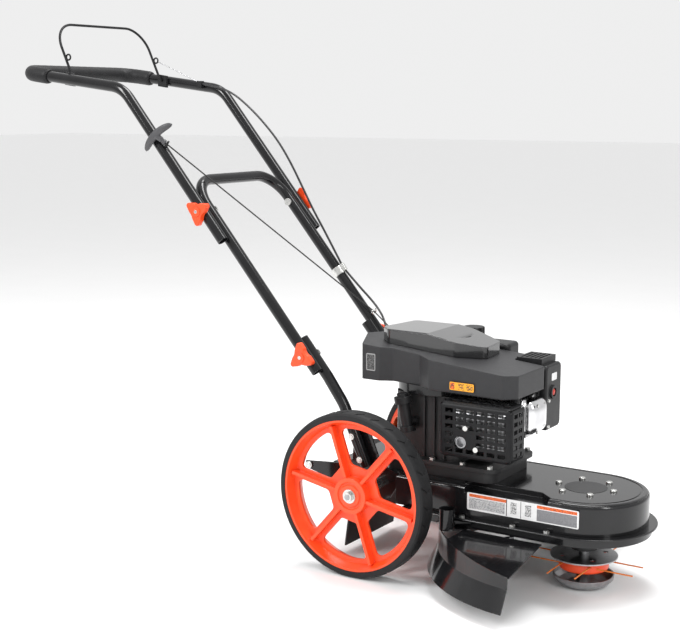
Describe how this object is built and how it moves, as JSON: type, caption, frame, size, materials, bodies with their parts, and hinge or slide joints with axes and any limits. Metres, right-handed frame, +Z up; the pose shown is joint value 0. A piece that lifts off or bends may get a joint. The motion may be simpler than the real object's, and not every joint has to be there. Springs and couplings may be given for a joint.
{
  "type": "brush mower",
  "caption": "Two-wheeled string trimmer with a vertical-shaft petrol engine, belt drive to a front cutting head, and a folding handle",
  "frame": {"origin": "on the ground under the middle of the whole machine's length and width", "axes": "+X forward towards the cutting head, +Y the machine's left, +Z up"},
  "size_m": [1.5605, 0.6484, 1.183],
  "materials": {
    "tyre": "matte",
    "orange_plastic": "satin",
    "orange_paint": "satin",
    "black_paint": "gloss",
    "frame_black": "gloss",
    "zinc": "zinc plated",
    "bare_steel": "machined",
    "cast_aluminium": "cast, dark",
    "chrome": "polished",
    "shroud_plastic": "fine texture",
    "gloss_black_plastic": "gloss",
    "black_plastic": "matte",
    "red_rubber": "smooth",
    "rubber": "matte",
    "foam": "foam",
    "cable_black": "smooth",
    "rope": "braided",
    "nylon": "clear nylon",
    "grey_plastic": "soft touch"
  },
  "bodies": {
    "chassis": {"axle": "bare_steel", "hub_nuts": "zinc", "deck_pan": "black_paint", "engine_tray": "black_paint", "deck_base": "black_paint", "chassis_fasteners": "zinc", "side_plates": "black_paint", "far_panel": "orange_paint", "rear_flap": "rubber", "guard_skirt": "black_paint", "drive_belt": "rubber", "spindle_housing": "cast_aluminium", "crankcase": "cast_aluminium", "cylinder": "cast_aluminium", "engine_fasteners": "zinc", "valve_cover": "chrome", "spark_plug": "rubber", "muffler": "bare_steel", "muffler_guard": "black_paint", "blower_housing": "black_paint", "shroud": "shroud_plastic", "starter_lid": "gloss_black_plastic", "fuel_tank": "black_plastic", "air_filter_box": "black_plastic", "carburettor": "cast_aluminium", "oil_filler": "black_plastic", "lower_handles": "frame_black"},
    "left_wheel": {"left_rim": "orange_plastic", "left_tyre": "tyre"},
    "right_wheel": {"right_rim": "orange_plastic", "right_tyre": "tyre"},
    "crank": {"crankshaft": "bare_steel", "crank_pulley": "bare_steel", "flywheel": "cast_aluminium"},
    "cutter": {"spindle": "bare_steel", "head_pulley": "bare_steel", "head_plate": "bare_steel", "string_head": "orange_plastic", "cutting_lines": "nylon"},
    "bowl": {"support_bowl": "bare_steel"},
    "recoil": {"recoil_pulley": "black_plastic"},
    "middle": {"middle_handle": "frame_black", "middle_fittings": "zinc", "brake_cable_lower": "cable_black", "starter_rope_lower": "rope"},
    "upper": {"upper_handle": "frame_black", "upper_fittings": "black_plastic", "foam_grip": "foam", "brake_cable_upper": "cable_black", "starter_rope_upper": "rope", "brake_wire": "bare_steel"},
    "bail_wire": {"bail": "frame_black"},
    "pull": {"pull_handle": "grey_plastic"},
    "knob_ll": {"left_lower_knob": "orange_plastic"},
    "knob_rl": {"right_lower_knob": "orange_plastic"},
    "knob_lu": {"left_upper_knob": "orange_plastic"},
    "knob_ru": {"right_upper_knob": "orange_plastic"},
    "tank_cap": {"fuel_cap": "black_plastic"},
    "oil_cap": {"dipstick": "black_plastic"},
    "primer": {"primer_bulb": "red_rubber"}
  },
  "joints": [
    {"name": "left_wheel_spin", "type": "hinge", "parent": "chassis", "child": "left_wheel", "pos_m": [0.20225, 0.216, 0.178], "axis": [0, 1, 0], "continuous": true},
    {"name": "right_wheel_spin", "type": "hinge", "parent": "chassis", "child": "right_wheel", "pos_m": [0.20225, -0.216, 0.178], "axis": [0, 1, 0], "continuous": true},
    {"name": "crank_spin", "type": "hinge", "parent": "chassis", "child": "crank", "pos_m": [0.29225, 0, 0.178], "axis": [0, 0, 1], "continuous": true},
    {"name": "cutter_spin", "type": "hinge", "parent": "chassis", "child": "cutter", "pos_m": [0.63225, 0, 0.1], "axis": [0, 0, 1], "continuous": true},
    {"name": "bowl_spin", "type": "hinge", "parent": "cutter", "child": "bowl", "pos_m": [0.63225, 0, 0.015], "axis": [0, 0, 1], "continuous": true},
    {"name": "recoil_turn", "type": "hinge", "parent": "chassis", "child": "recoil", "pos_m": [0.29225, 0, 0.454], "axis": [0, 0, 1], "range_deg": [0, 860]},
    {"name": "middle_fold", "type": "hinge", "parent": "chassis", "child": "middle", "pos_m": [0.04125, 0, 0.449], "axis": [0, 1, 0], "range_deg": [0, 115], "deforming": ["brake_cable_lower", "starter_rope_lower"]},
    {"name": "upper_fold", "type": "hinge", "parent": "middle", "child": "upper", "pos_m": [-0.21875, 0, 0.755], "axis": [0, -1, 0], "range_deg": [0, 135], "deforming": ["brake_cable_upper", "starter_rope_upper"]},
    {"name": "bail_pivot", "type": "hinge", "parent": "upper", "child": "bail_wire", "pos_m": [-0.62775, 0, 1.05], "axis": [0, -1, 0], "range_deg": [0, 49], "stiffness_Nm_per_rad": 1, "springref_deg": -22.92, "deforming": ["brake_wire"]},
    {"name": "starter_pull", "type": "slide", "parent": "upper", "child": "pull", "axis": [-0.5385, -0.5528, 0.6359], "range_m": [0, 0.5], "stiffness_N_per_m": 12, "springref_m": -0.2},
    {"name": "left_lower_knob_turn", "type": "hinge", "parent": "chassis", "child": "knob_ll", "pos_m": [0.04125, 0.18, 0.449], "axis": [0, 1, 0], "continuous": true},
    {"name": "right_lower_knob_turn", "type": "hinge", "parent": "chassis", "child": "knob_rl", "pos_m": [0.04125, -0.18, 0.449], "axis": [0, 1, 0], "continuous": true},
    {"name": "left_upper_knob_turn", "type": "hinge", "parent": "middle", "child": "knob_lu", "pos_m": [-0.21875, 0.205, 0.755], "axis": [0, 1, 0], "continuous": true},
    {"name": "right_upper_knob_turn", "type": "hinge", "parent": "middle", "child": "knob_ru", "pos_m": [-0.21875, -0.205, 0.755], "axis": [0, 1, 0], "continuous": true},
    {"name": "fuel_cap_turn", "type": "hinge", "parent": "chassis", "child": "tank_cap", "pos_m": [0.30225, 0.126, 0.49], "axis": [0, 0, 1], "continuous": true},
    {"name": "dipstick_turn", "type": "hinge", "parent": "chassis", "child": "oil_cap", "pos_m": [0.25625, -0.106, 0.36], "axis": [-0.1643, -0.0329, 0.9859], "continuous": true},
    {"name": "primer_push", "type": "slide", "parent": "chassis", "child": "primer", "axis": [-1, 0, 0], "range_m": [0, 0.003], "stiffness_N_per_m": 300}
  ],
  "couplings": [
    {"joint": "cutter_spin", "follows": "crank_spin", "ratio": 0.66667},
    {"joint": "recoil_turn", "follows": "starter_pull", "rad_per_m": 29.4}
  ]
}
